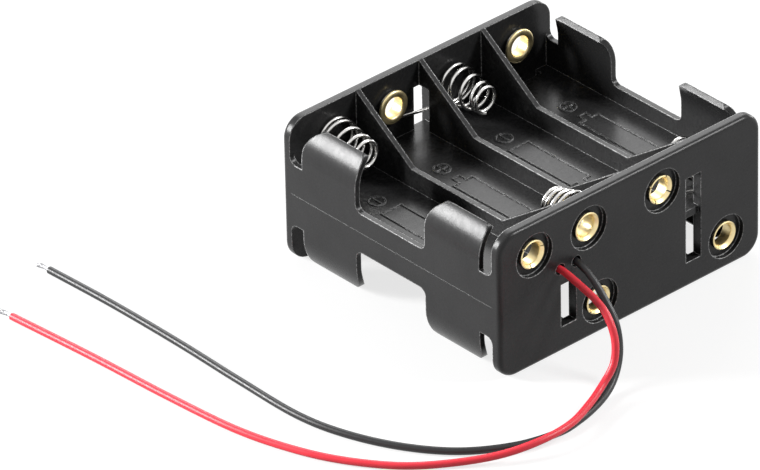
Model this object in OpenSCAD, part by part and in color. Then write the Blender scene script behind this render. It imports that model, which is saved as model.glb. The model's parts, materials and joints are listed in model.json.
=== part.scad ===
// Holder for eight round cells: four bays on top and four underneath, back to back.
// X runs across the bays, Y along the cells and Z up. The origin is at the centre of
// the rectangle that the moulding stands on, and sizes are in millimetres.
// "Front" is the end plate at -Y, where the leads come out, and "back" the one at +Y.

/* [Cells] */
// Diameter of a cell
cell_d = 14.5; // [13.5:0.1:17.5]
// Room between an outer cell and the curl of its side wall
cell_gap = 0.15; // [0.05:0.05:0.6]
// Room between a cell and the floor of its bay
seat_gap = 0.2; // [0.05:0.05:0.6]

/* [End plates] */
// Length over both end plates
body_l = 57; // [46:0.5:75]
// Height of an end plate above the centre line of the upper cells
plate_rise = 6.6; // [5.5:0.1:8]
// Thickness of an end plate
plate_t = 2; // [1.6:0.1:3]
// Radius of an end plate's corners
plate_corner_r = 4; // [2:0.5:6]
// Radius along the outer edge of an end plate
plate_edge_r = 0.9; // [0.3:0.1:1.2]

/* [Bays] */
// Distance between neighbouring dividers
bay_pitch = 15.25; // [14.8:0.05:19]
// Distance from an outer divider to the centre of the outer bay
outer_bay_half = 8.1; // [7.8:0.05:10]
// Thickness of the floor between the upper and the lower bays
floor_t = 1.5; // [1:0.1:2.5]
// Thickness of a divider
divider_t = 1; // [0.8:0.1:1.6]
// Height of a divider above the floor, along its low middle
ridge_h = 3.9; // [2:0.1:6]
// Length of the slope from an end plate down to the low middle
slope_l = 14.5; // [8:0.5:18]

/* [Side walls] */
// Thickness of a side wall
wall_t = 1.1; // [0.8:0.1:2]
// Height of the low middle of a side wall above the centre of the floor
low_edge_h = 4.1; // [2:0.1:6]
// Half the length of the gap between the two tabs of a side wall
tab_gap_half = 9.1; // [5:0.1:12]
// Drop from the top of an end plate to the tip of a tab
tab_drop = 0.1; // [0.05:0.05:1]
// Length of the notch between a tab and its end plate
notch_l = 3.2; // [1.5:0.1:5]
// Height of the bottom of that notch above the centre of the floor
notch_h = 6.4; // [4:0.1:8]
// Radius in the corners at the foot of a tab
foot_r = 1.5; // [0.5:0.1:2.5]
// Radius of the large corner of a tab, seen from the side
tab_corner_r = 5; // [1:0.5:6]
// Radius of the small corner of a tab, seen from the side
tab_small_r = 1.6; // [0.3:0.1:2]

/* [Openings] */
// Width of a window over a divider
window_w = 3.7; // [2:0.1:5]
// Height of the taller windows
window_tall_h = 8.8; // [5:0.1:10]
// Height of the lower windows
window_low_h = 7.35; // [5:0.05:10]
// Depth that a window reaches past the inner face of its end plate
window_reach = 2.5; // [1:0.1:4]
// Setback of the floor where it crosses a window
bridge_setback = 0.7; // [0.2:0.1:1.2]
// Length across the bay of the slot that a link passes down through
link_slot_w = 9.6; // [8:0.1:11]
// Width of that slot along the cells
link_slot_l = 1.6; // [1.2:0.1:3]
// Diameter of a lead hole
lead_hole_d = 2.2; // [1.6:0.1:3]
// Distance of a lead hole from the centre plane of its divider
lead_hole_offset = 1.95; // [1.8:0.05:4]
// Height of a lead hole above the floor
lead_hole_h = 1.85; // [1.2:0.05:4]

/* [Floor marks] */
// Height of the raised marks on the floor
mark_h = 0.2; // [0.1:0.05:0.5]
// Width of a raised line
mark_line = 0.3; // [0.2:0.05:0.6]
// Diameter of the ring round a polarity sign
sign_d = 3.4; // [2:0.1:5]
// Distance of the polarity signs from the middle of the holder
sign_y = 12.9; // [11:0.1:16]
// Width of the cell outline
outline_w = 5; // [3:0.1:8]
// Length of the cell outline with its terminal
outline_l = 18.6; // [12:0.1:20]
// Length of the terminal on the cell outline
outline_tip_l = 1.9; // [1:0.1:4]
// Width of the terminal on the cell outline
outline_tip_w = 2; // [1:0.1:4]

/* [Eyelets] */
// Bore of an eyelet
eyelet_bore = 4.1; // [2.5:0.1:4.6]
// Thickness of the eyelet metal
eyelet_t = 0.3; // [0.2:0.05:0.4]
// Clearance round an eyelet in its hole
eyelet_gap = 0.05; // [0.02:0.01:0.1]
// Diameter of the flange inside the bay
flange_d = 6.7; // [6.2:0.1:8]
// Thickness of that flange
flange_t = 0.5; // [0.3:0.05:0.8]
// Diameter over the flared end
flare_d = 5.8; // [5.5:0.1:7]
// Diameter of the recess round the flared end
recess_d = 8.6; // [8:0.1:10]
// Depth of that recess
recess_depth = 1; // [0.8:0.05:1.4]
// Depth of the rim of the flare below the outer face
flare_sink = 0.3; // [0:0.05:0.4]
// Width of the splits in a flared end
split_w = 0.3; // [0.1:0.05:0.5]
// Distance of the black lead's eyelet from the centre of its bay
black_eyelet_offset = 2.6; // [2:0.1:3.5]

/* [Springs] */
// Diameter of the spring wire
wire_d = 0.7; // [0.4:0.05:0.8]
// Diameter of the base of a spring, to the middle of the wire
spring_base_d = 7.6; // [6:0.1:9]
// Diameter of the tip of a spring, to the middle of the wire
spring_tip_d = 5; // [3:0.1:8]
// Free length of a spring
spring_l = 9.5; // [7:0.5:12]
// Number of open turns
spring_turns = 3; // [2:1:6]
// Clearance between touching wires, flanges and walls
contact_gap = 0.03; // [0.01:0.01:0.1]

/* [Leads] */
// Diameter over the insulation
lead_d = 1.4; // [1:0.1:2]
// Diameter of the bundle of bare strands
strand_d = 0.7; // [0.4:0.05:0.8]
// Length of bare strands at the free end
bare_l = 3.4; // [2:0.1:8]

/* [Hidden] */
$fn = 48;
// Overrun of a cut past the faces that it goes through
over = 1;
// Bite that joins two shapes of one moulding
hair = 0.01;
rim_steps = 6;

// Cell centres and floor levels
bay_inner_x = bay_pitch / 2;
bay_outer_x = bay_pitch + outer_bay_half;
curl_r = cell_d / 2 + cell_gap + wall_t;
cell_h = floor_t / 2 + seat_gap + cell_d / 2;
body_w = 2 * (bay_outer_x + curl_r);
body_h = 2 * (cell_h + plate_rise);
mid_z = body_h / 2;
inner_y = body_l / 2 - plate_t;
max_curl_sine = 0.99;
curl_angle = asin(min(max_curl_sine, (plate_rise - tab_drop) / curl_r));
bay_x = [-bay_outer_x, -bay_inner_x, bay_inner_x, bay_outer_x];

// Roundings limited by the wall that they sit in, with some flat edge left beside them
edge_land = 0.4;
corner_land = 0.5;
edge_r = min(plate_edge_r, plate_t - edge_land);
tab_top_z = cell_h + plate_rise - tab_drop;
tab_l = inner_y - notch_l - tab_gap_half;
big_corner_r = min(tab_corner_r, tab_l - tab_small_r - corner_land,
    tab_top_z - low_edge_h - foot_r - corner_land);

// Eyelets: the shares of the flange taken by its soft edge and of the flare by its splits
flange_soft = 0.3;
split_share = 0.8;
eyelet_r = eyelet_bore / 2 + eyelet_t;
hole_r = eyelet_r + eyelet_gap;
black_eyelet_x = -bay_inner_x - black_eyelet_offset;

// Bent wires: steps round a coil, and the loop round an eyelet, whose corners stand out
// so that the flats between them clear the barrel
step_angle = 30;
wire_sides = 6;
loop_r = eyelet_r + wire_d / 2 + contact_gap;
loop_angle = 270;
loop_corner = 1 / cos(step_angle / 2);
wire_lift = wire_d / 2 + contact_gap;
closed_gap = 0.08;
closed_pitch = wire_d + closed_gap;
spring_end_turn = 1;
// Extra rise of the spring whose first turn passes over the leads' eyelet
spring_over_leads = 2.4;
// How far each coil sits off the centre of its cell: across, and away from the floor
coil_shift = [[2.1, -0.6], [-0.95, 0], [0, -1.4], [-1.35, -2.6]];
// Run of a link that lies flat under the floor, past each side of its window
link_past_window = 0.3;
under_one_wire = wire_d + 2 * contact_gap;
under_two_wires = under_one_wire + strand_d + contact_gap;

// Strands: their part of a turn round the eyelet, and how they bend out of the
// insulation, as distances along their run and rises above it
strand_angle = 210;
strand_bend = [[1, 0.1], [1.7, -0.3]];

// Leads: the points that each one follows, from inside the holder to its free end
lead_sides = 8;
lead_step = 4.2;
lead_inside = 1.2;
lead_hole_z = mid_z + floor_t / 2 + lead_hole_h;
red_hole_x = -bay_pitch - lead_hole_offset;
black_hole_x = -bay_pitch + lead_hole_offset;
red_start = [red_hole_x, -inner_y + lead_inside, lead_hole_z];
black_start = [black_hole_x, -inner_y + lead_inside, lead_hole_z];
red_route = [
    [-17.2, -29.5, 17.3], [-17.2, -33.5, 16.4], [-17.3, -37.8, 15.2], [-17.7, -41.2, 13.4],
    [-18.3, -43.6, 10], [-19.6, -44.6, 6.2], [-22.6, -45, 3.4], [-28, -47, 2.4],
    [-34.5, -49.2, 2.4], [-42, -49.3, 2.3], [-49, -46.8, 1.5], [-56, -42.1, 0.8],
    [-63, -36.5, 0.75], [-69, -28.3, 0.75], [-73, -19.5, 0.75], [-76, -8, 0.75],
    [-77.6, 8, 0.75], [-78.8, 27, 0.75], [-80.5, 47.2, 0.75]
];
black_route = [
    [-13.3, -29.3, 17.2], [-13.2, -32.8, 15.2], [-13.3, -36.2, 12.2], [-13.7, -39, 9.2],
    [-14.8, -41, 5.8], [-16.9, -42.6, 3.1], [-20.2, -44.2, 1.2], [-24.8, -46, 0.75],
    [-30.5, -47.5, 0.75], [-36, -47.9, 0.75], [-44, -45.8, 0.75], [-52.3, -40.4, 0.75],
    [-58.6, -32.4, 0.75], [-63.1, -22.4, 0.75], [-65.2, -12, 0.75], [-65.2, 3, 0.75],
    [-64.8, 20, 0.75], [-64.9, 38, 0.75], [-65.6, 54.3, 0.75]
];
strand_ref = [0.35, 1, 0.25];
lead_ref = [0.6, 0.5, 0.62];

// ---- helpers ----

function unit(v) = v / norm(v);
function tangent(path, i) =
    unit(path[min(i + 1, len(path) - 1)] - path[max(i - 1, 0)]);

// Tube of radius r along a path; ref is a direction that the path never takes.
module sweep(path, r, sides, ref) {
    last = len(path) - 1;
    points = [
        for (i = [0:last])
            let (t = tangent(path, i), a = unit(cross(t, ref)), b = cross(t, a))
            for (k = [0:sides - 1])
                path[i] + r * (a * cos(360 * k / sides) + b * sin(360 * k / sides))
    ];
    walls = [
        for (i = [0:last - 1], k = [0:sides - 1])
            let (p = i * sides + k, q = i * sides + (k + 1) % sides)
            each [[p, p + sides, q + sides], [p, q + sides, q]]
    ];
    first_cap = [for (k = [0:sides - 1]) k];
    last_cap = [for (k = [0:sides - 1]) (last + 1) * sides - 1 - k];
    polyhedron(points, concat(walls, [first_cap, last_cap]), convexity = 10);
}

// A point given in an end plate's own terms: u across, v up from the middle of the
// floor, w inward from the plate's inner face. end is -1 at the front, 1 at the back.
function on_plate(end, u, v, w) = [u, end * (inner_y - w), mid_z + v];

// Smooth curve through the points of a route, with rings about lead_step apart.
function smooth_point(p0, p1, p2, p3, t) =
    0.5 * (2 * p1 + (p2 - p0) * t + (2 * p0 - 5 * p1 + 4 * p2 - p3) * t * t
        + (3 * p1 - p0 - 3 * p2 + p3) * t * t * t);
function smooth_route(pts) = concat([
    for (i = [0:len(pts) - 2])
        let (parts = max(1, round(norm(pts[i + 1] - pts[i]) / lead_step)))
        for (j = [0:parts - 1])
            smooth_point(pts[max(i - 1, 0)], pts[i], pts[i + 1],
                pts[min(i + 2, len(pts) - 1)], j / parts)
], [pts[len(pts) - 1]]);

// ---- moulding ----

// Section of an end plate's rim: depth in from the rim along X, thickness along Y,
// with the outer edge rounded
module rim_section() {
    arc = [for (k = [0:rim_steps]) let (a = 90 * k / rim_steps)
        [plate_corner_r - edge_r + edge_r * cos(a), plate_t - edge_r + edge_r * sin(a)]];
    polygon(concat([[0, 0], [plate_corner_r, 0]], arc, [[0, plate_t]]));
}

// Back end plate, with the middle of the floor at Z = 0: four turned corners, four
// straight rims and the flat between them
module end_plate() {
    cx = body_w / 2 - plate_corner_r;
    cz = body_h / 2 - plate_corner_r;
    translate([0, inner_y, 0]) rotate([-90, 0, 0]) {
        for (x = [0, 1], z = [0, 1]) mirror([x, 0, 0]) mirror([0, z, 0])
            translate([cx, cz, 0]) rotate_extrude(angle = 90) rim_section();
        for (x = [0, 1]) mirror([x, 0, 0]) translate([cx, cz, 0])
            rotate([90, 0, 0]) linear_extrude(2 * cz) rim_section();
        for (z = [0, 1]) mirror([0, z, 0]) translate([-cx, cz, 0])
            rotate([90, 0, 90]) linear_extrude(2 * cx) rim_section();
        translate([-cx, -cz, 0]) cube([2 * cx, 2 * cz, plate_t]);
    }
}

// Floor with the three dividers of the upper bays
module dividers() {
    low_y = inner_y - slope_l;
    top = floor_t / 2 + ridge_h;
    for (i = [-1:1]) translate([i * bay_pitch - divider_t / 2, 0, 0])
        rotate([90, 0, 90]) linear_extrude(divider_t) polygon([
            [-inner_y - hair, 0], [inner_y + hair, 0], [inner_y + hair, body_h / 2],
            [inner_y, body_h / 2], [low_y, top], [-low_y, top], [-inner_y, body_h / 2],
            [-inner_y - hair, body_h / 2]
        ]);
}

// Block that takes a corner off a tab; dir is 1 for the end at higher Y
module tab_corner(y, r, dir) {
    translate([-over, 0, 0]) difference() {
        translate([0, dir > 0 ? y - r : y - over, tab_top_z - r])
            cube([body_w, r + over, r + over]);
        translate([-over, y - dir * r, tab_top_z - r])
            rotate([0, 90, 0]) cylinder(h = body_w + 2 * over, r = r);
    }
}

// What is cut from the upper half of a side wall: the gap between the tabs, the notch
// at each end plate and the tabs' corners
module wall_cuts() {
    reach = body_w / 2 + over;
    tall = body_h;
    for (s = [-1, 1]) {
        translate([0, s * (tab_gap_half - foot_r), low_edge_h + foot_r])
            rotate([0, 90, 0]) cylinder(h = reach, r = foot_r);
        translate([0, s > 0 ? inner_y - notch_l : -inner_y, notch_h + foot_r])
            cube([reach, notch_l, tall]);
        translate([0, s > 0 ? inner_y - notch_l : -inner_y + foot_r, notch_h])
            cube([reach, notch_l - foot_r, tall]);
        translate([0, s * (inner_y - foot_r), notch_h + foot_r])
            rotate([0, 90, 0]) cylinder(h = reach, r = foot_r);
    }
    translate([0, -tab_gap_half, low_edge_h + foot_r])
        cube([reach, 2 * tab_gap_half, tall]);
    translate([0, -tab_gap_half + foot_r, low_edge_h])
        cube([reach, 2 * (tab_gap_half - foot_r), tall]);
    for (end_y = [inner_y - notch_l, -tab_gap_half]) tab_corner(end_y, big_corner_r, 1);
    for (end_y = [-inner_y + notch_l, tab_gap_half]) tab_corner(end_y, tab_small_r, -1);
}

// Right side wall, upper half: straight up to the cell's centre, then curled over it
module side_wall_half() {
    span = 2 * inner_y + 2 * hair;
    difference() {
        union() {
            translate([body_w / 2 - wall_t, -span / 2, -hair])
                cube([wall_t, span, cell_h + 2 * hair]);
            translate([bay_outer_x, span / 2, cell_h]) rotate([90, 0, 0])
                curl(span);
        }
        wall_cuts();
    }
}

// Arc of the side wall's curl, extruded by l
module curl(l) {
    far = 2 * curl_r;
    intersection() {
        difference() {
            cylinder(h = l, r = curl_r, $fn = 96);
            translate([0, 0, -over]) cylinder(h = l + 2 * over, r = curl_r - wall_t, $fn = 96);
        }
        translate([0, 0, -over]) linear_extrude(l + 2 * over)
            polygon([[0, 0], [far, 0], [far, far * tan(curl_angle)]]);
    }
}

// Raised lines on the floor of one bay; the plus end of the cell is at high Y if plus_up
module floor_marks(plus_up) {
    bar = sign_d - 2 * mark_line;
    body = outline_l - outline_tip_l;
    flip = plus_up ? 1 : -1;
    translate([0, sign_y, 0]) {
        difference() {
            cylinder(h = mark_h + hair, d = sign_d);
            translate([0, 0, -over]) cylinder(h = mark_h + 2 * over, d = bar);
        }
        translate([-mark_line / 2, -bar / 2 - hair, 0])
            cube([mark_line, bar + 2 * hair, mark_h + hair]);
        if (plus_up) translate([-bar / 2 - hair, -mark_line / 2, 0])
            cube([bar + 2 * hair, mark_line, mark_h + hair]);
    }
    linear_extrude(mark_h + hair) difference() {
        outline(body, flip, 0);
        outline(body, flip, mark_line);
    }
}

module outline(body, flip, inset) {
    end = flip * (body - outline_l / 2 - inset);
    start = flip * (-outline_l / 2 + inset);
    tip = flip * (outline_l / 2 - inset);
    w = outline_w / 2 - inset;
    t = outline_tip_w / 2 - inset;
    polygon([[-w, start], [w, start], [w, end], [t, end], [t, tip], [-t, tip], [-t, end], [-w, end]]);
}

// Everything that the upper and the lower half have alike
module half() {
    dividers();
    for (x = [0, 1]) mirror([x, 0, 0]) side_wall_half();
    for (i = [0:3]) translate([bay_x[i], 0, floor_t / 2 - hair]) floor_marks(i % 2 == 1);
}

// Window over a divider, above the floor for dir 1 and below it for dir -1
module window(end, x, h, dir) {
    y = end > 0 ? inner_y - window_reach : -body_l / 2 - over;
    z = dir > 0 ? floor_t / 2 : -floor_t / 2 - h;
    translate([x - window_w / 2, y, z]) cube([window_w, window_reach + plate_t + over, h]);
}

module windows() {
    window(-1, bay_pitch, window_low_h, 1);
    window(-1, bay_pitch, window_tall_h, -1);
    window(-1, -bay_pitch, window_tall_h, -1);
    window(1, 0, window_tall_h, 1);
    window(1, 0, window_low_h, -1);
    for (w = [[-1, bay_pitch], [1, 0]])
        translate([w[1] - window_w / 2, w[0] * (body_l / 2 - bridge_setback / 2 + over / 2)
            - (bridge_setback + over) / 2, -floor_t / 2 - hair])
            cube([window_w, bridge_setback + over, floor_t + 2 * hair]);
}

// Places of the eyelets: end plate, across, and up from the middle of the floor
eyelet_places = [
    [-1, bay_x[0], cell_h], [1, bay_x[1], cell_h], [-1, bay_x[2], cell_h], [1, bay_x[3], cell_h],
    [1, bay_x[0], -cell_h], [-1, bay_x[1], -cell_h], [1, bay_x[2], -cell_h],
    [-1, bay_x[3], -cell_h], [-1, black_eyelet_x, cell_h]
];

module eyelet_holes() {
    for (e = eyelet_places) translate([e[1], e[0] * (inner_y - over), e[2]])
        rotate([-90 * e[0], 0, 0]) {
            cylinder(h = plate_t + 2 * over, r = hole_r);
            translate([0, 0, over + plate_t - recess_depth])
                cylinder(h = recess_depth + over, d = recess_d);
        }
}

module holder_body() {
    color("#333333") translate([0, 0, mid_z]) difference() {
        union() {
            for (r = [0, 180]) rotate([0, 0, r]) end_plate();
            translate([-body_w / 2 + wall_t / 2, -inner_y - hair, -floor_t / 2])
                cube([body_w - wall_t, 2 * inner_y + 2 * hair, floor_t]);
            for (r = [0, 180]) rotate([r, 0, 0]) half();
        }
        windows();
        eyelet_holes();
        for (s = [-1, 1]) translate([s * bay_outer_x - link_slot_w / 2,
            inner_y - link_slot_l, -floor_t])
            cube([link_slot_w, link_slot_l, 2 * floor_t]);
        for (x = [red_hole_x, black_hole_x])
            translate([x, -body_l / 2 - over, lead_hole_z - mid_z])
                rotate([-90, 0, 0]) cylinder(h = plate_t + 2 * over, d = lead_hole_d);
    }
}

// ---- eyelets ----

// An eyelet: flange over the wires in the bay, barrel, and a flare in the recess
module eyelet(i, wires_t, splits, turn) {
    e = eyelet_places[i];
    bore_r = eyelet_bore / 2;
    seat = -plate_t + recess_depth;
    rim = -plate_t + flare_sink;
    top = wires_t + flange_t;
    soft = flange_soft * flange_t;
    color("#d9b45a") translate(on_plate(e[0], e[1], e[2], 0)) rotate([90 * e[0], 0, 0])
        difference() {
            rotate_extrude() polygon([
                [bore_r, seat], [bore_r, top - soft], [bore_r + soft, top],
                [flange_d / 2 - soft, top], [flange_d / 2, top - soft],
                [flange_d / 2, wires_t], [eyelet_r, wires_t], [eyelet_r, seat],
                [flare_d / 2, rim + eyelet_t / 3], [flare_d / 2 - eyelet_t / 2, rim],
                [flare_d / 2 - eyelet_t, rim]
            ]);
            if (splits > 0) for (k = [0:splits - 1]) rotate([0, 0, turn + 360 * k / splits])
                translate([0, -split_w / 2, rim - over])
                    cube([flare_d, split_w, over + (seat - rim) * split_share]);
        }
}

// ---- springs ----

// Path of a spring and its link: a loop round an eyelet, a run along the end plate, and
// a coil that narrows to its tip. side picks the side that the run leaves the eyelet on,
// and via lists any bends on its way.
function link_angle(from, to, from_r, to_r, side) =
    let (d = to - from)
    atan2(d[1], d[0]) + side * acos((from_r - to_r) / norm(d));
function coil_point(end, c, r, a, w) = on_plate(end, c[0] + r * cos(a), c[1] + r * sin(a), w);
function spring_path(end, eye, foot, side, lift, via) =
    let (
        base_r = spring_base_d / 2,
        tip_r = spring_tip_d / 2,
        direct = len(via) == 0,
        a0 = direct ? link_angle(eye, foot, loop_r, base_r, side)
            : link_angle(eye, via[0], loop_r, 0, side),
        a1 = direct ? a0 : link_angle(via[len(via) - 1], foot, 0, base_r, side),
        base_rise = closed_pitch + lift,
        open_rise = spring_l - wire_d / 2 - wire_lift - base_rise - closed_pitch,
        turns = 1 + spring_turns + spring_end_turn,
        steps = turns * 360 / step_angle
    )
    concat(
        [for (k = [-loop_angle / step_angle:0])
            coil_point(end, eye, loop_r * loop_corner, a0 - side * k * step_angle, wire_lift)],
        [for (v = via) on_plate(end, v[0], v[1], wire_lift)],
        [for (k = [0:steps])
            let (
                turn = k * step_angle / 360,
                open = min(max((turn - 1) / spring_turns, 0), 1),
                w = wire_lift + base_rise * min(turn, 1) + open_rise * open
                    + closed_pitch * max(turn - 1 - spring_turns, 0)
            )
            coil_point(end, foot, base_r + (tip_r - base_r) * open,
                a1 - side * k * step_angle, w)]
    );

module spring(end, eye, foot, side, lift = 0, via = []) {
    color("#d8d8d8")
        sweep(spring_path(end, eye, foot, side, lift, via), wire_d / 2, wire_sides, [0, 1, 0]);
}

// Foot of the coil in bay i; level is 1 above the floor and -1 below it
function foot(i, level) =
    [bay_x[i] + coil_shift[i][0], level * (cell_h + coil_shift[i][1])];

// Two bends that take a link flat under the floor, through the window at divider_x
function under_floor(divider_x, way) =
    let (half = window_w / 2 + link_past_window, low = -floor_t / 2 - wire_lift)
    [[divider_x - way * half, low], [divider_x + way * half, low]];
function place(i) = [eyelet_places[i][1], eyelet_places[i][2]];

// ---- leads ----

module lead(start, route, tint) {
    color(tint) sweep(smooth_route(concat([start], route)), lead_d / 2, lead_sides, lead_ref);
}

// Bare strands of a lead: the loop under the eyelet's flange, and the free end
module strands(start, route, i, lift, side) {
    eye = place(i);
    foot = [start[0], start[2] - mid_z];
    r = eyelet_r + strand_d / 2 + contact_gap;
    d = foot - eye;
    a0 = atan2(d[1], d[0]) + side * acos(r / norm(d));
    touch = eye + r * [cos(a0), sin(a0)];
    along = unit(touch - foot);
    over_lead = lead_inside + lead_d / 2;
    low = lift + strand_d / 2;
    inside = concat(
        [on_plate(-1, foot[0], foot[1], lead_inside + contact_gap)],
        [on_plate(-1, foot[0], foot[1], over_lead)],
        [for (s = strand_bend)
            on_plate(-1, foot[0] + along[0] * s[0], foot[1] + along[1] * s[0], over_lead + s[1])],
        [on_plate(-1, touch[0] - along[0] * flange_d / 2, touch[1] - along[1] * flange_d / 2, low)],
        [for (k = [0:strand_angle / step_angle])
            on_plate(-1, eye[0] + r * loop_corner * cos(a0 + side * k * step_angle),
                eye[1] + r * loop_corner * sin(a0 + side * k * step_angle), low)]
    );
    last = len(route) - 1;
    out = unit(route[last] - route[last - 1]);
    color("#c9c9c9") {
        sweep(inside, strand_d / 2, wire_sides, strand_ref);
        sweep([route[last] + out * contact_gap, route[last] + out * bare_l],
            strand_d / 2, wire_sides, lead_ref);
    }
}

// ---- named parts ----

module spring_top_1() { spring(1, place(4), foot(0, 1), 1); }
module spring_top_2() { spring(-1, place(8), foot(1, 1), -1, spring_over_leads); }
module spring_top_3() { spring(1, place(1), foot(2, 1), -1); }
module spring_top_4() { spring(-1, place(2), foot(3, 1), -1); }
module spring_bottom_1() { spring(-1, place(5), foot(0, -1), -1, 0, under_floor(-bay_pitch, -1)); }
module spring_bottom_2() { spring(1, place(6), foot(1, -1), -1); }
module spring_bottom_3() { spring(-1, place(7), foot(2, -1), -1, 0, under_floor(bay_pitch, -1)); }
module spring_bottom_4() { spring(1, place(3), foot(3, -1), -1); }
module eyelet_top_1() { eyelet(0, under_one_wire, 3, 100); }
module eyelet_top_2() { eyelet(1, under_one_wire, 0, 0); }
module eyelet_top_3() { eyelet(2, under_one_wire, 4, 30); }
module eyelet_top_4() { eyelet(3, under_one_wire, 3, 60); }
module eyelet_bottom_1() { eyelet(4, under_one_wire, 4, 10); }
module eyelet_bottom_2() { eyelet(5, under_one_wire, 3, 20); }
module eyelet_bottom_3() { eyelet(6, under_one_wire, 3, 80); }
module eyelet_bottom_4() { eyelet(7, under_one_wire, 0, 0); }
module eyelet_black_lead() { eyelet(8, under_two_wires, 0, 0); }
module red_lead() { lead(red_start, red_route, "#d42a35"); }
module black_lead() { lead(black_start, black_route, "#2b2b2b"); }
module red_strands() { strands(red_start, red_route, 0, contact_gap, 1); }
module black_strands() { strands(black_start, black_route, 8, under_one_wire, 1); }

holder_body();
spring_top_1();
spring_top_2();
spring_top_3();
spring_top_4();
spring_bottom_1();
spring_bottom_2();
spring_bottom_3();
spring_bottom_4();
eyelet_top_1();
eyelet_top_2();
eyelet_top_3();
eyelet_top_4();
eyelet_bottom_1();
eyelet_bottom_2();
eyelet_bottom_3();
eyelet_bottom_4();
eyelet_black_lead();
red_lead();
black_lead();
red_strands();
black_strands();
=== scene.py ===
import bpy
import bmesh
import json
import math
from mathutils import Matrix, Vector


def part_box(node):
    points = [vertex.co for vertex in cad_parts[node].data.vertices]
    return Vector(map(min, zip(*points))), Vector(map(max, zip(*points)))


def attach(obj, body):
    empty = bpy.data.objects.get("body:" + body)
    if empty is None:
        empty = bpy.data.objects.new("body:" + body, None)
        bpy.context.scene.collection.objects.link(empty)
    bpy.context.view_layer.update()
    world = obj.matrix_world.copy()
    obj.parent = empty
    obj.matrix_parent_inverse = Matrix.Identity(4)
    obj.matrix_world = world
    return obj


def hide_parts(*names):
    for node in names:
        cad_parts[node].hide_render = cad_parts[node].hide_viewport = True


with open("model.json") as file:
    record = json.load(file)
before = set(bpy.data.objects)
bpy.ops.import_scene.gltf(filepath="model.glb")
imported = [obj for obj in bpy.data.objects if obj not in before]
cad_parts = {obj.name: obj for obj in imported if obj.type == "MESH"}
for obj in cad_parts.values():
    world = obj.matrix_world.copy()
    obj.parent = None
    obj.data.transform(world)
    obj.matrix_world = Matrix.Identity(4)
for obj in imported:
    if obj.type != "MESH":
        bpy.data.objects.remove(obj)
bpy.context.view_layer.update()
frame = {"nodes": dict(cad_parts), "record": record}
mm = 0.001
nodes = frame["nodes"]
bodyLow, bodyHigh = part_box("holder_body")

# sizes of the moulding that the small parts are placed by, in millimetres
holder = {
    "plateT": 2,
    "bayPitch": 15.25,
    "outerBayHalf": 8.1,
    "floorT": 1.5,
    "seatGap": 0.2,
    "cellD": 14.5,
    "wireD": 0.7,
    "contactGap": 0.03,
    "blackEyeShift": 2.6,  # the black lead's eyelet, off its bay's middle
}
innerY = bodyHigh.y / mm - holder["plateT"]
midZ = (bodyLow.z + bodyHigh.z) / 2 / mm
cellH = holder["floorT"] / 2 + holder["seatGap"] + holder["cellD"] / 2
outerX = holder["bayPitch"] + holder["outerBayHalf"]
bayX = [-outerX, -holder["bayPitch"] / 2, holder["bayPitch"] / 2, outerX]
blackEyeX = bayX[1] - holder["blackEyeShift"]
wireT = holder["wireD"] + 2 * holder["contactGap"]  # height that one wire takes on a plate


def onPlate(end, across, up, inward):
    # a point by an end plate: across, up from the floor's middle, in from its inner face
    return Vector((across, end * (innerY - inward), midZ + up)) * mm


cameraView = {
    "azimuth": -41.53,
    "elevation": 32.11,
    "distance": 1709,
    "aim": (0, 0, 15),
    "panRight": -25.594,
    "panUp": -8.623,
    "roll": 1.26,
    "lens": 451.9,
    "sensor": 36,
    "clip": (0.05, 50),
}


def makeCamera(view):
    az, el, roll = (math.radians(view[k]) for k in ("azimuth", "elevation", "roll"))
    back = Vector((math.sin(az) * math.cos(el), -math.cos(az) * math.cos(el), math.sin(el)))
    right = Vector((math.cos(az), math.sin(az), 0))
    up = back.cross(right)
    place = Vector(view["aim"]) + right * view["panRight"] + up * view["panUp"]
    place += back * view["distance"]
    rolledRight = right * math.cos(roll) - up * math.sin(roll)
    rolledUp = back.cross(rolledRight)
    turn = Matrix((rolledRight, rolledUp, back)).transposed().to_4x4()
    data = bpy.data.cameras.new("camera")
    data.lens = view["lens"]
    data.sensor_width = view["sensor"]
    data.clip_start, data.clip_end = view["clip"]
    camera = bpy.data.objects.new("camera", data)
    camera.matrix_world = Matrix.Translation(place * mm) @ turn
    bpy.context.scene.collection.objects.link(camera)
    bpy.context.scene.camera = camera


makeCamera(cameraView)
print("camera ready")


def newCurve(name, roundness):
    # a round wire's curve; each point's own radius is the wire's, in metres
    data = bpy.data.curves.new(name, "CURVE")
    data.dimensions = "3D"
    data.bevel_depth = 1
    data.bevel_resolution = roundness
    data.use_fill_caps = True
    return data


def linkPiece(name, data):
    piece = bpy.data.objects.new(name, data)
    bpy.context.scene.collection.objects.link(piece)
    return piece


def wireCurve(name, splines, radius, roundness):
    # straight from point to point; splines is a list of point lists
    data = newCurve(name, roundness)
    for points in splines:
        spline = data.splines.new("POLY")
        spline.points.add(len(points) - 1)
        for target, point in zip(spline.points, points):
            target.co = (*point, 1)
            target.radius = radius
    return linkPiece(name, data)


def routeCurve(name, route, radius, roundness, steps):
    # smooth cord through its route's points, with handles along the neighbours' chord
    data = newCurve(name, roundness)
    data.resolution_u = steps
    spline = data.splines.new("BEZIER")
    spline.bezier_points.add(len(route) - 1)
    for i, point in enumerate(spline.bezier_points):
        here = Vector(route[i])
        chord = Vector(route[min(i + 1, len(route) - 1)]) - Vector(route[max(i - 1, 0)])
        pull = chord / 6  # a sixth of the neighbours' chord on each side
        point.handle_left_type = "FREE"
        point.handle_right_type = "FREE"
        point.co = here
        point.handle_left = here - pull
        point.handle_right = here + pull
        point.radius = radius
    return linkPiece(name, data)


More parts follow.
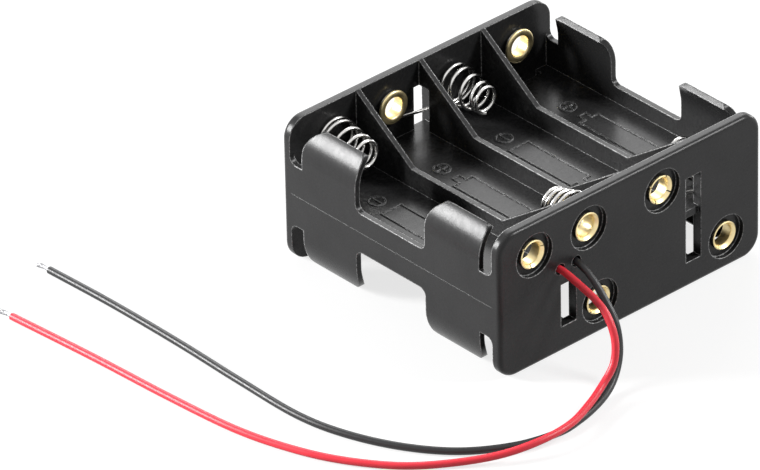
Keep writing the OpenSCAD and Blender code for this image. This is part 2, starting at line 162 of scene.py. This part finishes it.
def evenPath(points, step):
    # the same line with points a step apart
    tiny = 1e-12
    total = sum((b - a).length for a, b in zip(points, points[1:]))
    count = max(2, round(total / step))
    spacing = total / count
    path = [points[0].copy()]
    left = spacing
    for a, b in zip(points, points[1:]):
        gone = 0
        length = (b - a).length
        while length - gone >= left - tiny:
            gone += left
            path.append(a.lerp(b, gone / length))
            left = spacing
        left -= length - gone
    return path


def twistStrands(path, settings, splay=0):
    # strands laid round a middle one, turning about the path; splay opens them at its end
    splines = []
    normal = (path[1] - path[0]).orthogonal().normalized()
    frames = []
    for i, point in enumerate(path):
        along = (path[min(i + 1, len(path) - 1)] - path[max(i - 1, 0)]).normalized()
        normal = (normal - along * normal.dot(along)).normalized()
        frames.append((point, normal.copy(), along.cross(normal)))
    run = 0
    runs = [0]
    for a, b in zip(path, path[1:]):
        run += (b - a).length
        runs.append(run)
    for k in range(settings["count"]):
        layR = 0 if k == 0 else settings["layR"] * mm
        phase = 2 * math.pi * k / max(1, settings["count"] - 1)
        lean = settings["lean"][k % len(settings["lean"])]
        keep = settings["cut"][k % len(settings["cut"])] if splay else 1
        points = []
        for (point, a, b), run in zip(frames, runs):
            share = run / runs[-1]
            if share > keep:
                break
            angle = phase + 2 * math.pi * run / (settings["pitch"] * mm)
            away = layR + splay * lean * mm * share ** settings["opening"]
            points.append(point + (a * math.cos(angle) + b * math.sin(angle)) * away)
        splines.append(points)
    return splines


leads = {
    "diameter": 1.4,
    "inside": 1.2,
    "holeOffset": 1.95,
    "holeUp": 1.85,
    "bare": 3.4,
    "roundness": 4,
    "steps": 10,
}
strandLay = {
    "count": 7,
    "radius": 0.13,
    "layR": 0.22,
    "pitch": 9,
    "lean": [0.05, 0.3, 0.02, 0.2, -0.1, 0.3, 0.1],
    "cut": [1, 0.95, 0.98, 0.92, 1, 0.94, 0.97],
    "opening": 1.6,
    "hidden": 0.4,  # start of the free strands, back inside the insulation
    "tipSteps": 12,
    "bundleR": 0.35,
    "barrelR": 2.35,  # outside of an eyelet's barrel
    "turn": 210,
    "turnStep": 10,
    "settled": 3.35,  # from here on they lie flat on the plate
    "bendOut": [(1, 0.1), (1.7, -0.3)],
    "step": 0.3,
    "roundness": 2,
}
redRoute = [
    (-0.0172, -0.0295, 0.0173), (-0.0172, -0.0335, 0.0164), (-0.0173, -0.0378, 0.0152),
    (-0.0177, -0.0412, 0.0134), (-0.0183, -0.0436, 0.01), (-0.0196, -0.0446, 0.0062),
    (-0.0226, -0.045, 0.0034), (-0.028, -0.047, 0.0024), (-0.0345, -0.0492, 0.0024),
    (-0.042, -0.0493, 0.0023), (-0.049, -0.0468, 0.0015), (-0.056, -0.0421, 0.0008),
    (-0.063, -0.0365, 0.00075), (-0.069, -0.0283, 0.00075), (-0.073, -0.0195, 0.00075),
    (-0.076, -0.008, 0.00075), (-0.0776, 0.008, 0.00075), (-0.0788, 0.027, 0.00075),
    (-0.0805, 0.0472, 0.00075),
]
blackRoute = [
    (-0.0133, -0.0293, 0.0172), (-0.0132, -0.0328, 0.0152), (-0.0133, -0.0362, 0.0122),
    (-0.0137, -0.039, 0.0092), (-0.0148, -0.041, 0.0058), (-0.0169, -0.0426, 0.0031),
    (-0.0202, -0.0442, 0.0012), (-0.0248, -0.046, 0.00075), (-0.0305, -0.0475, 0.00075),
    (-0.036, -0.0479, 0.00075), (-0.044, -0.0458, 0.00075), (-0.0523, -0.0404, 0.00075),
    (-0.0586, -0.0324, 0.00075), (-0.0631, -0.0224, 0.00075), (-0.0652, -0.012, 0.00075),
    (-0.0652, 0.003, 0.00075), (-0.0648, 0.02, 0.00075), (-0.0649, 0.038, 0.00075),
    (-0.0656, 0.0543, 0.00075),
]


def strandsInside(foot, eye, lift):
    # from the insulation's end, along the plate, and round the eyelet under its flange
    radius = strandLay["barrelR"] + strandLay["bundleR"] + holder["contactGap"]
    away = Vector(eye) - Vector(foot)
    start = math.atan2(-away.y, -away.x) + math.acos(radius / away.length)
    touch = Vector(eye) + radius * Vector((math.cos(start), math.sin(start)))
    along = (touch - Vector(foot)).normalized()
    rise = leads["inside"] + leads["diameter"] / 2
    low = lift + strandLay["bundleR"]
    points = [onPlate(-1, *foot, leads["inside"] + holder["contactGap"]), onPlate(-1, *foot, rise)]
    for far, up in strandLay["bendOut"]:
        points.append(onPlate(-1, *(Vector(foot) + along * far), rise + up))
    points.append(onPlate(-1, *(touch - along * strandLay["settled"]), low))
    for k in range(strandLay["turn"] // strandLay["turnStep"] + 1):
        angle = start + math.radians(strandLay["turnStep"] * k)
        spot = Vector(eye) + radius * Vector((math.cos(angle), math.sin(angle)))
        points.append(onPlate(-1, *spot, low))
    return points


def makeLead(name, route, footX, eyeX, lift):
    foot = (footX, leads["holeUp"] + holder["floorT"] / 2)
    start = onPlate(-1, *foot, leads["inside"])
    route = [tuple(start)] + route
    lead = routeCurve(name + "Lead", route, leads["diameter"] / 2 * mm, leads["roundness"],
                      leads["steps"])
    inside = strandsInside(foot, (eyeX, cellH), lift)
    tip = Vector(route[-1])
    out = (tip - Vector(route[-2])).normalized()
    steps = strandLay["tipSteps"]
    free = [tip + out * (leads["bare"] * k / steps - strandLay["hidden"]) * mm
            for k in range(1, steps + 2)]
    splines = twistStrands(evenPath(inside, strandLay["step"] * mm), strandLay)
    splines += twistStrands(free, strandLay, splay=1)
    strands = wireCurve(name + "Strands", splines, strandLay["radius"] * mm,
                        strandLay["roundness"])
    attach(lead, "root")
    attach(strands, "root")
    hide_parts(name + "_lead")
    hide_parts(name + "_strands")
    return lead, strands


redLead, redStrands = makeLead("red", redRoute, -holder["bayPitch"] - leads["holeOffset"],
                               bayX[0], holder["contactGap"])
blackLead, blackStrands = makeLead("black", blackRoute, -holder["bayPitch"] + leads["holeOffset"],
                                   blackEyeX, wireT)
print("leads ready")


def newMaterial(name, metallic=0.0, specular=0.5):
    material = bpy.data.materials.new(name)
    material.use_nodes = True
    shader = material.node_tree.nodes["Principled BSDF"]
    shader.inputs["Metallic"].default_value = metallic
    shader.inputs["Specular IOR Level"].default_value = specular
    return material, shader


def addNode(material, kind, **values):
    node = material.node_tree.nodes.new(kind)
    for name, value in values.items():
        if hasattr(node, name):
            setattr(node, name, value)
        else:
            node.inputs[name].default_value = value
    return node


def join(material, source, output, target, socket):
    material.node_tree.links.new(source.outputs[output], target.inputs[socket])


def objectNoise(material, scale, detail=3, stretch=(1, 1, 1)):
    # noise on the object's own coordinates; scale is in repeats a metre
    place = addNode(material, "ShaderNodeTexCoord")
    mapping = addNode(material, "ShaderNodeMapping", Scale=stretch)
    noise = addNode(material, "ShaderNodeTexNoise", Scale=scale, Detail=detail)
    join(material, place, "Object", mapping, "Vector")
    join(material, mapping, "Vector", noise, "Vector")
    return noise


def spread(material, source, output, low, high, fromLow=0.3, fromHigh=0.7):
    rangeNode = addNode(material, "ShaderNodeMapRange")
    rangeNode.inputs["From Min"].default_value = fromLow
    rangeNode.inputs["From Max"].default_value = fromHigh
    rangeNode.inputs["To Min"].default_value = low
    rangeNode.inputs["To Max"].default_value = high
    join(material, source, output, rangeNode, "Value")
    return rangeNode


def mixColor(material, shader, noise, low, high):
    mix = addNode(material, "ShaderNodeMix", data_type="RGBA")
    mix.inputs[6].default_value = (*low, 1)
    mix.inputs[7].default_value = (*high, 1)
    join(material, spread(material, noise, "Fac", 0, 1), "Result", mix, "Factor")
    material.node_tree.links.new(mix.outputs[2], shader.inputs["Base Color"])
    return mix


plastic = {
    "color": (0.02, 0.02, 0.0203),
    "paler": (0.026, 0.026, 0.0264),
    "cloudScale": 140,
    "specular": 0.21,
    "roughness": (0.25, 0.3),
    "glossScale": 900,
    "grainScale": 5200,
    "grainHeight": 3e-6,
    "edge": 0.00034,
    "edgeSamples": 8,
    "markEdge": 0.00014,
    "markReach": 0.6,  # how far off the floor a mark still counts as one
    # painted highlight: a light grey mixed into the colour along rounded edges, speckled
    "paintedHighlight": (0.7, 0.7, 0.7),
    "highlightScale": 2600,
    "highlightAmount": 0.95,
    "highlightLean": (0.99, 0.84),  # cosine of the lean where the painted edge highlight starts, and where it is full
    "highlightSpeckle": (0.25, 1),
    "seamHalf": 0.00014,
    "seamTop": 0.3,  # flat share of the seam's half width
    "seamHeight": 0.0001,
    "seamReach": 0.3,  # how far in from the side walls' faces the seam still counts
}


def mathNode(material, operation, first, firstOutput, second, secondOutput=0):
    # one Math node; second is a node or a fixed number
    node = addNode(material, "ShaderNodeMath", operation=operation)
    join(material, first, firstOutput, node, 0)
    if isinstance(second, (int, float)):
        node.inputs[1].default_value = second
    else:
        join(material, second, secondOutput, node, 1)
    return node


def offPlane(material, axis, middle):
    # distance of a point from the plane at middle, along one axis
    place = addNode(material, "ShaderNodeTexCoord")
    parts = addNode(material, "ShaderNodeSeparateXYZ")
    join(material, place, "Object", parts, "Vector")
    offset = mathNode(material, "SUBTRACT", parts, axis, middle)
    return mathNode(material, "ABSOLUTE", offset, 0, 0)


def seamRise(material):
    # 1 along the mould seam at mid height of the two side walls, 0 elsewhere
    offMiddle = offPlane(material, "Z", midZ * mm)
    inner = plastic["seamHalf"] * plastic["seamTop"]
    ridge = spread(material, offMiddle, 0, 1, 0, inner, plastic["seamHalf"])
    wallX = bodyHigh.x - plastic["seamReach"] * mm
    outside = mathNode(material, "GREATER_THAN", offPlane(material, "X", 0), 0, wallX)
    between = mathNode(material, "LESS_THAN", offPlane(material, "Y", 0), 0, innerY * mm)
    wall = mathNode(material, "MULTIPLY", outside, 0, between)
    return mathNode(material, "MULTIPLY", wall, 0, ridge, "Result")


def edgeRadius(material):
    # small on the raised floor marks, larger on every other edge
    marksEnd = holder["floorT"] / 2 + plastic["markReach"]
    offFloor = offPlane(material, "Z", midZ * mm)
    clear = mathNode(material, "GREATER_THAN", offFloor, 0, marksEnd * mm)
    return spread(material, clear, 0, plastic["markEdge"], plastic["edge"], 0, 1)


def paintedEdgeHighlight(material, rounded):
    # painted edge highlight: how far the rounded normal leans away from the face, speckled
    face = addNode(material, "ShaderNodeNewGeometry")
    lean = addNode(material, "ShaderNodeVectorMath", operation="DOT_PRODUCT")
    join(material, face, "True Normal", lean, 0)
    join(material, rounded, "Normal", lean, 1)
    highlightShare = spread(material, lean, "Value", 0, plastic["highlightAmount"], *plastic["highlightLean"])
    noise = objectNoise(material, plastic["highlightScale"], 2)
    speckle = spread(material, noise, "Fac", *plastic["highlightSpeckle"], 0.4, 0.6)
    return mathNode(material, "MULTIPLY", highlightShare, "Result", speckle, "Result")


def bumpLayer(material, source, output, height, under=None):
    bump = addNode(material, "ShaderNodeBump", Strength=1, Distance=height)
    join(material, source, output, bump, "Height")
    if under:
        join(material, under, "Normal", bump, "Normal")
    return bump


def blackPlastic():
    material, shader = newMaterial("blackPlastic", specular=plastic["specular"])
    rounded = addNode(material, "ShaderNodeBevel", samples=plastic["edgeSamples"])
    join(material, edgeRadius(material), "Result", rounded, "Radius")
    clouds = objectNoise(material, plastic["cloudScale"], 4)
    base = mixColor(material, shader, clouds, plastic["color"], plastic["paler"])
    # painted highlight on rounded edges, mixed over the base colour
    paintedHighlight = addNode(material, "ShaderNodeMix", data_type="RGBA")
    paintedHighlight.inputs[7].default_value = (*plastic["paintedHighlight"], 1)
    join(material, paintedEdgeHighlight(material, rounded), 0, paintedHighlight, "Factor")
    material.node_tree.links.new(base.outputs[2], paintedHighlight.inputs[6])
    material.node_tree.links.new(paintedHighlight.outputs[2], shader.inputs["Base Color"])
    uneven = objectNoise(material, plastic["glossScale"], 3)
    gloss = spread(material, uneven, "Fac", *plastic["roughness"])
    join(material, gloss, "Result", shader, "Roughness")
    grain = bumpLayer(material, objectNoise(material, plastic["grainScale"], 2), "Fac",
                      plastic["grainHeight"], rounded)
    seam = bumpLayer(material, seamRise(material), 0, plastic["seamHeight"], grain)
    join(material, seam, "Normal", shader, "Normal")
    return material


metals = {
    "spring": {"color": (0.8, 0.79, 0.77), "roughness": (0.14, 0.2), "scale": 900, "dent": 1e-6},
    "brass": {"color": (0.9, 0.75, 0.42), "roughness": (0.36, 0.44), "scale": 700, "dent": 1e-6},
    "strand": {"color": (0.3, 0.3, 0.31), "roughness": (0.3, 0.4), "scale": 2000, "dent": 3e-6},
    "tarnish": 0.86,
    "cloudScale": 600,
}


def brightMetal(name, settings):
    material, shader = newMaterial(name, metallic=1.0)
    wear = objectNoise(material, settings["scale"], 3)
    gloss = spread(material, wear, "Fac", *settings["roughness"])
    join(material, gloss, "Result", shader, "Roughness")
    darker = tuple(c * metals["tarnish"] for c in settings["color"])
    clouds = objectNoise(material, metals["cloudScale"], 3)
    mixColor(material, shader, clouds, darker, settings["color"])
    bump = bumpLayer(material, wear, "Fac", settings["dent"])
    join(material, bump, "Normal", shader, "Normal")
    return material


insulation = {
    "red": {"color": (0.96, 0.045, 0.07), "deep": (0.88, 0.035, 0.058)},
    "black": {"color": (0.013, 0.013, 0.014), "deep": (0.009, 0.009, 0.01)},
    "roughness": (0.36, 0.46),
    "cloudScale": 260,
    "glossScale": 1500,
    "dentScale": 1100,
    "dent": 1.2e-5,
}


def softInsulation(name, colors):
    material, shader = newMaterial(name)
    clouds = objectNoise(material, insulation["cloudScale"], 3)
    mixColor(material, shader, clouds, colors["deep"], colors["color"])
    uneven = objectNoise(material, insulation["glossScale"], 2)
    gloss = spread(material, uneven, "Fac", *insulation["roughness"])
    join(material, gloss, "Result", shader, "Roughness")
    dents = objectNoise(material, insulation["dentScale"], 2)
    bump = bumpLayer(material, dents, "Fac", insulation["dent"])
    join(material, bump, "Normal", shader, "Normal")
    return material


finishes = {
    "black_plastic": blackPlastic(),
    "spring_wire": brightMetal("springWire", metals["spring"]),
    "brass": brightMetal("brass", metals["brass"]),
    "tinned_strands": brightMetal("tinnedStrands", metals["strand"]),
    "red_insulation": softInsulation("redInsulation", insulation["red"]),
    "black_insulation": softInsulation("blackInsulation", insulation["black"]),
}


def paint(piece, finish):
    piece.data.materials.clear()
    piece.data.materials.append(finish)


for part in frame["record"]["subparts"]:
    paint(nodes[part["node"]], finishes[part["material_slot"]])
for lead, insulated in ((redLead, "red_insulation"), (blackLead, "black_insulation")):
    paint(lead, finishes[insulated])
for strands in (redStrands, blackStrands):
    paint(strands, finishes["tinned_strands"])
print("materials ready")


def standFor(piece, node, slot):
    # the piece stands for a node of the model, in its slot's finish
    paint(piece, finishes[slot])
    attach(piece, "root")
    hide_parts(node)


eyelet = {
    "bore": 4.1,
    "wall": 0.3,
    "flangeD": 6.7,
    "flangeT": 0.5,
    "flangeSoft": 0.32,
    "flareD": 5.8,
    "recessDepth": 1,
    "flareSink": 0.3,
    "flareBend": 1.5,
    "flareSteps": 6,
    "rimThinning": 0.35,
    "rimLift": 0.12,
    "uneven": 0.05,  # how much the split leaves differ in reach
    "unevenPace": 2.3,
    "split": 0.3,
    "domeSteps": 10,
    "segments": 72,
}
twoWires = wireT + holder["wireD"] + holder["contactGap"]
# node, end plate, across, up, height of the wires under the flange, splits, first split
eyelets = [
    ("eyelet_top_1", -1, bayX[0], cellH, wireT, 3, 100),
    ("eyelet_top_2", 1, bayX[1], cellH, wireT, 0, 0),
    ("eyelet_top_3", -1, bayX[2], cellH, wireT, 4, 30),
    ("eyelet_top_4", 1, bayX[3], cellH, wireT, 3, 60),
    ("eyelet_bottom_1", 1, bayX[0], -cellH, wireT, 4, 10),
    ("eyelet_bottom_2", -1, bayX[1], -cellH, wireT, 3, 20),
    ("eyelet_bottom_3", 1, bayX[2], -cellH, wireT, 3, 80),
    ("eyelet_bottom_4", -1, bayX[3], -cellH, wireT, 0, 0),
    ("eyelet_black_lead", -1, blackEyeX, cellH, twoWires, 0, 0),
]


def spinProfile(shape, profile, start, sweep, segments):
    # a closed section, spun about Z; a part turn gets its two end faces
    turn = Matrix.Rotation(start, 3, "Z")
    ring = [shape.verts.new(turn @ Vector((x * mm, 0, z * mm))) for x, z in profile]
    edges = [shape.edges.new((ring[i], ring[(i + 1) % len(ring)])) for i in range(len(ring))]
    tiny = 1e-6
    full = sweep > 2 * math.pi - tiny
    if not full:
        shape.faces.new(ring)
    made = bmesh.ops.spin(shape, geom=ring + edges, cent=(0, 0, 0), axis=(0, 0, 1),
                          angle=sweep, steps=segments, use_merge=full, use_duplicate=False)
    if not full:
        ends = [v for v in made["geom_last"] if isinstance(v, bmesh.types.BMVert)]
        bmesh.ops.contextual_create(shape, geom=ends)


def finishMesh(name, shape, smoothAngle=35):
    bmesh.ops.recalc_face_normals(shape, faces=shape.faces)
    mesh = bpy.data.meshes.new(name)
    shape.to_mesh(mesh)
    shape.free()
    mesh.polygons.foreach_set("use_smooth", [True] * len(mesh.polygons))
    mesh.set_sharp_from_angle(angle=math.radians(smoothAngle))
    return linkPiece(name, mesh)


def flareProfile(reach):
    # trumpet wall from the barrel out to the rolled rim
    bore = eyelet["bore"] / 2
    low = -holder["plateT"] + eyelet["recessDepth"]
    rim = -holder["plateT"] + eyelet["flareSink"]
    spreadR = eyelet["flareD"] / 2 - eyelet["wall"] - bore
    inner, outer = [], []
    for k in range(eyelet["flareSteps"] + 1):
        t = k / eyelet["flareSteps"]
        rise = low + (rim - low) * t
        radius = bore + spreadR * reach * t ** eyelet["flareBend"]
        wall = eyelet["wall"] * (1 - eyelet["rimThinning"] * t)
        inner.append((radius, rise))
        outer.append((radius + wall, rise + eyelet["rimLift"] * t))
    return inner + list(reversed(outer))


def makeEyelet(node, end, across, up, wires, splits, firstSplit):
    shape = bmesh.new()
    bore = eyelet["bore"] / 2
    barrel = bore + eyelet["wall"]
    low = -holder["plateT"] + eyelet["recessDepth"]
    top = wires + eyelet["flangeT"]
    rim = eyelet["flangeD"] / 2
    soft = eyelet["flangeSoft"]
    steps = eyelet["domeSteps"]
    dome = [(bore + (rim - bore) * (1 - math.cos(math.pi * k / steps)) / 2,
             top - soft + soft * math.sin(math.pi * k / steps)) for k in range(steps + 1)]
    section = [(bore, low)] + dome + [(rim, wires), (barrel, wires), (barrel, low)]
    spinProfile(shape, section, 0, 2 * math.pi, eyelet["segments"])
    if splits:
        gap = eyelet["split"] / (eyelet["flareD"] / 2)
        pace = 2 * math.pi / splits
        for k in range(splits):
            reach = 1 + eyelet["uneven"] * math.sin(eyelet["unevenPace"] * k + across)
            start = math.radians(firstSplit) + k * pace + gap / 2
            spinProfile(shape, flareProfile(reach), start, pace - gap,
                        eyelet["segments"] // splits)
    else:
        spinProfile(shape, flareProfile(1), 0, 2 * math.pi, eyelet["segments"])
    turn = Matrix.Rotation(end * math.pi / 2, 4, "X")
    stand = Matrix.Translation(onPlate(end, across, up, 0)) @ turn
    bmesh.ops.transform(shape, matrix=stand, verts=shape.verts)
    piece = finishMesh(node.replace("_", "-") + "-metal", shape)
    standFor(piece, node, "brass")


for row in eyelets:
    makeEyelet(*row)
print("eyelets ready")


spring = {
    "baseD": 7.6,
    "tipD": 5,
    "length": 9.5,
    "openTurns": 3,
    "closedGap": 0.08,
    "endTurns": 1,
    "loopTurn": 270,
    "step": 10,
    "roundness": 4,
    "overLeads": 2.4,
    # how far each coil sits off the centre of its cell: across, and away from the floor
    "shift": [(2.1, -0.6), (-0.95, 0), (0, -1.4), (-1.35, -2.6)],
    "windowW": 3.7,
    "pastWindow": 0.3,
}


def coilFoot(bay, level):
    across, up = spring["shift"][bay]
    return (bayX[bay] + across, level * (cellH + up))


def underFloor(dividerX, way):
    # two bends that take a link flat under the floor, through a divider's window
    half = way * (spring["windowW"] / 2 + spring["pastWindow"])
    low = -holder["floorT"] / 2 - holder["wireD"] / 2 - holder["contactGap"]
    return [(dividerX - half, low), (dividerX + half, low)]


leftWindow = underFloor(-holder["bayPitch"], -1)
rightWindow = underFloor(holder["bayPitch"], -1)
# node, end plate, eyelet across and up, coil's foot, side of the link, extra rise, bends
springs = [
    ("spring_top_1", 1, (bayX[0], -cellH), coilFoot(0, 1), 1, 0, []),
    ("spring_top_2", -1, (blackEyeX, cellH), coilFoot(1, 1), -1, spring["overLeads"], []),
    ("spring_top_3", 1, (bayX[1], cellH), coilFoot(2, 1), -1, 0, []),
    ("spring_top_4", -1, (bayX[2], cellH), coilFoot(3, 1), -1, 0, []),
    ("spring_bottom_1", -1, (bayX[1], -cellH), coilFoot(0, -1), -1, 0, leftWindow),
    ("spring_bottom_2", 1, (bayX[2], -cellH), coilFoot(1, -1), -1, 0, []),
    ("spring_bottom_3", -1, (bayX[3], -cellH), coilFoot(2, -1), -1, 0, rightWindow),
    ("spring_bottom_4", 1, (bayX[3], cellH), coilFoot(3, -1), -1, 0, []),
]


def linkAngle(start, finish, startR, finishR, side):
    # where a straight wire that touches both rings leaves the first one
    away = Vector(finish) - Vector(start)
    return math.atan2(away.y, away.x) + side * math.acos((startR - finishR) / away.length)


def springPath(end, eye, foot, side, extra, bends):
    wireR = holder["wireD"] / 2
    lift = wireR + holder["contactGap"]
    loopR = eyelet["bore"] / 2 + eyelet["wall"] + lift
    baseR, tipR = spring["baseD"] / 2, spring["tipD"] / 2
    closed = holder["wireD"] + spring["closedGap"]
    if bends:
        leave = linkAngle(eye, bends[0], loopR, 0, side)
        arrive = linkAngle(bends[-1], foot, 0, baseR, side)
    else:
        leave = arrive = linkAngle(eye, foot, loopR, baseR, side)
    openRise = spring["length"] - wireR - lift - (closed + extra) - closed

    def coilPoint(centre, radius, angle, rise):
        across = centre[0] + radius * math.cos(angle)
        up = centre[1] + radius * math.sin(angle)
        return onPlate(end, across, up, rise)

    path = []
    for k in range(-spring["loopTurn"] // spring["step"], 1):
        path.append(coilPoint(eye, loopR, leave - side * math.radians(k * spring["step"]), lift))
    for bend in bends:
        path.append(onPlate(end, *bend, lift))
    turns = 1 + spring["openTurns"] + spring["endTurns"]
    for k in range(turns * 360 // spring["step"] + 1):
        turn = k * spring["step"] / 360
        opened = min(max((turn - 1) / spring["openTurns"], 0), 1)
        rise = lift + (closed + extra) * min(turn, 1) + openRise * opened
        rise += closed * max(turn - 1 - spring["openTurns"], 0)
        radius = baseR + (tipR - baseR) * opened
        angle = arrive - side * math.radians(k * spring["step"])
        path.append(coilPoint(foot, radius, angle, rise))
    return path


def makeSpring(node, *layout):
    path = springPath(*layout)
    name = node.replace("_", "-") + "-wire"
    piece = wireCurve(name, [path], holder["wireD"] / 2 * mm, spring["roundness"])
    standFor(piece, node, "spring_wire")


for row in springs:
    makeSpring(*row)
print("springs ready")


studio = {
    "floorSize": 4,
    "floorColor": (0.28, 0.28, 0.28),
    "floorRoughness": 0.9,
    "floorLift": 0.76,
    "skyStrength": 0.2,
    "lamps": [
        # name, where from, distance, width, height, watts
        ("tabLamp", (-0.68, 0.63, 0.37), 0.9, 0.2, 0.36, 14.0),
        ("bayLamp", (0.5, 0.66, 0.56), 0.9, 0.6, 0.6, 4.0),
        ("rimLamp", (0.56, -0.52, 0.64), 0.9, 0.18, 0.3, 5.0),
        ("lowLamp", (1.0, 0.05, 0.12), 0.8, 0.3, 0.15, 1.5),
    ],
}


def clearRays(target):
    # 1 for camera, glossy and transmission rays, 0 for the light that falls on the object
    rays = addNode(target, "ShaderNodeLightPath")
    seen = addNode(target, "ShaderNodeMath", operation="MAXIMUM")
    join(target, rays, "Is Camera Ray", seen, 0)
    join(target, rays, "Is Glossy Ray", seen, 1)
    clear = addNode(target, "ShaderNodeMath", operation="MAXIMUM")
    join(target, seen, 0, clear, 0)
    join(target, rays, "Is Transmission Ray", clear, 1)
    return clear


def makeFloor(settings):
    shape = bmesh.new()
    bmesh.ops.create_grid(shape, x_segments=2, y_segments=2, size=settings["floorSize"])
    floor = finishMesh("floor", shape)
    material, shader = newMaterial("paleFloor", specular=0.0)
    shader.inputs["Base Color"].default_value = (*settings["floorColor"], 1)
    shader.inputs["Roughness"].default_value = settings["floorRoughness"]
    level = mathNode(material, "MULTIPLY", clearRays(material), 0, settings["floorLift"])
    glow = addNode(material, "ShaderNodeEmission")
    join(material, level, 0, glow, "Strength")
    both = addNode(material, "ShaderNodeAddShader")
    join(material, shader, "BSDF", both, 0)
    join(material, glow, "Emission", both, 1)
    join(material, both, 0, material.node_tree.nodes["Material Output"], "Surface")
    paint(floor, material)


def makeLamp(name, direction, distance, width, height, watts):
    data = bpy.data.lights.new(name, "AREA")
    data.shape = "RECTANGLE"
    data.size = width
    data.size_y = height
    data.energy = watts
    lamp = bpy.data.objects.new(name, data)
    away = Vector(direction).normalized()
    turn = away.to_track_quat("Z", "Y").to_matrix().to_4x4()
    lamp.matrix_world = Matrix.Translation(away * distance) @ turn
    bpy.context.scene.collection.objects.link(lamp)


def makeSky(settings):
    world = bpy.data.worlds.new("softSky")
    world.use_nodes = True
    sky = world.node_tree.nodes["Background"]
    sky.inputs["Color"].default_value = (1, 1, 1, 1)
    level = spread(world, clearRays(world), 0, settings["skyStrength"], 1, 0, 1)
    join(world, level, "Result", sky, "Strength")
    bpy.context.scene.world = world


makeFloor(studio)
makeSky(studio)
for row in studio["lamps"]:
    makeLamp(*row)
bpy.context.scene.view_settings.view_transform = "Standard"
print("studio ready")
